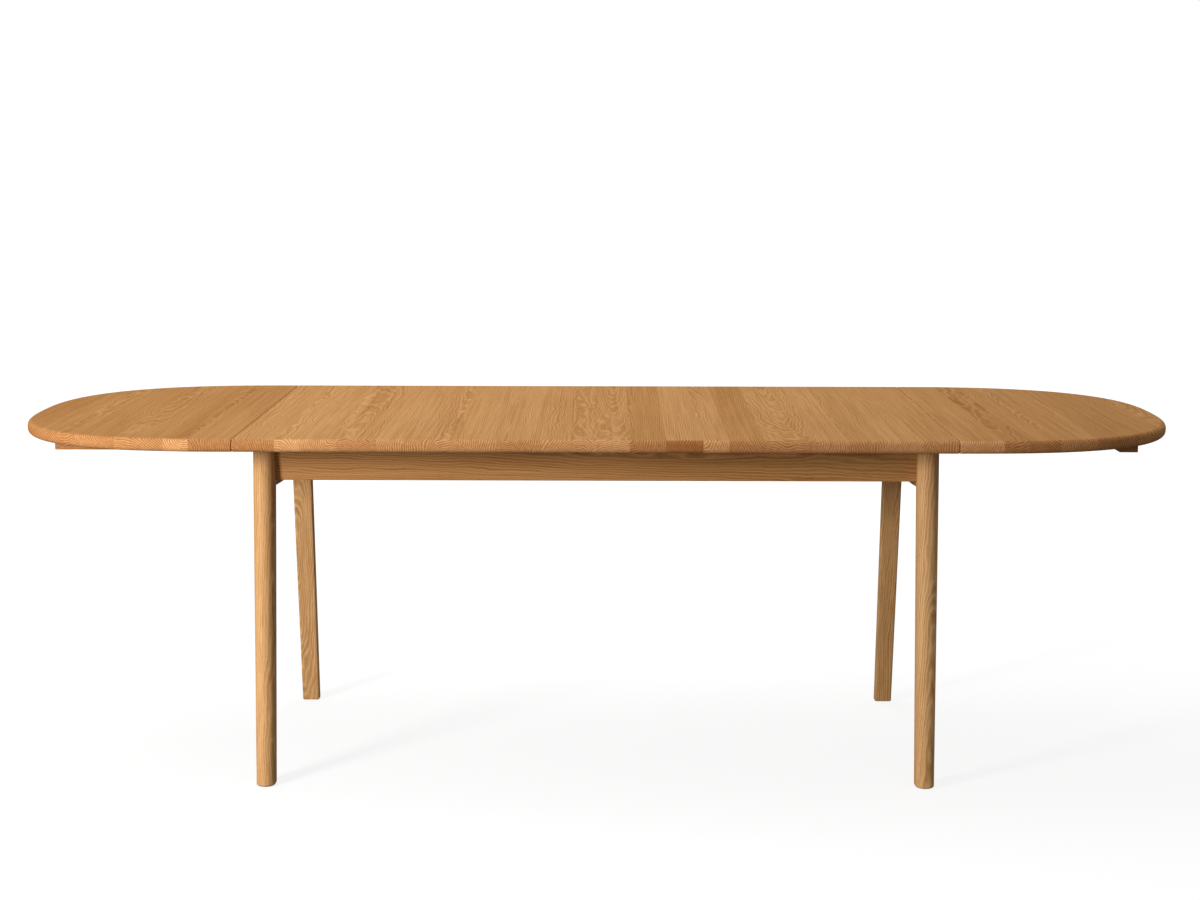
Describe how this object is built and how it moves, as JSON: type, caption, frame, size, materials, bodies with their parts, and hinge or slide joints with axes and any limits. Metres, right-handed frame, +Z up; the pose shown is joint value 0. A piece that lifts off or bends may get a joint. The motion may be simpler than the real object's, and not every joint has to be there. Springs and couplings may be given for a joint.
{
  "type": "dining table",
  "caption": "Solid oak extendable dining table: straight main top on a splayed leg frame, rounded end leaves on pull-out runners with cross battens.",
  "frame": {"origin": "on the floor under the middle of the table", "axes": "+X along the table to its right end, +Y to its back, +Z up"},
  "size_m": [2.354, 0.9, 0.72],
  "materials": {
    "top_oak": "solid oak edge-glued staves, oiled, satin",
    "frame_oak": "solid oak, oiled, satin",
    "support_oak": "solid oak, oiled, satin, on sliding parts",
    "dowel_beech": "turned beech, unfinished",
    "zinc_steel": "zinc plated steel",
    "steel_fixings": "plain plated steel",
    "glide_nylon": "dark nylon glide, matt"
  },
  "bodies": {
    "frame": {"back_apron": "frame_oak", "back_left_corner_block": "frame_oak", "back_left_leg": "frame_oak", "back_right_corner_block": "frame_oak", "back_right_leg": "frame_oak", "bearer_dowels": "dowel_beech", "bearer_screws": "steel_fixings", "corner_block_screws": "steel_fixings", "foot_glides": "glide_nylon", "frame_dowels": "dowel_beech", "front_apron": "frame_oak", "front_left_corner_block": "frame_oak", "front_left_leg": "frame_oak", "front_right_corner_block": "frame_oak", "front_right_leg": "frame_oak", "left_end_rail": "frame_oak", "leg_bolts": "zinc_steel", "leg_nuts": "zinc_steel", "leg_washers": "zinc_steel", "main_top": "top_oak", "middle_bearer": "frame_oak", "right_end_rail": "frame_oak", "top_plate_screws": "steel_fixings", "top_plates": "steel_fixings"},
    "left_leaf_unit": {"left_back_runner": "support_oak", "left_batten_dowels": "dowel_beech", "left_cross_batten": "support_oak", "left_front_runner": "support_oak", "left_leaf": "top_oak", "left_leaf_pins": "dowel_beech", "left_leaf_screws": "steel_fixings"},
    "right_leaf_unit": {"right_back_runner": "support_oak", "right_batten_dowels": "dowel_beech", "right_cross_batten": "support_oak", "right_front_runner": "support_oak", "right_leaf": "top_oak", "right_leaf_pins": "dowel_beech", "right_leaf_screws": "steel_fixings"}
  },
  "joints": [
    {"name": "left_leaf_slide", "type": "slide", "parent": "frame", "child": "left_leaf_unit", "axis": [-1, 0, 0], "range_m": [0, 0.45]},
    {"name": "right_leaf_slide", "type": "slide", "parent": "frame", "child": "right_leaf_unit", "axis": [1, 0, 0], "range_m": [0, 0.45]}
  ]
}
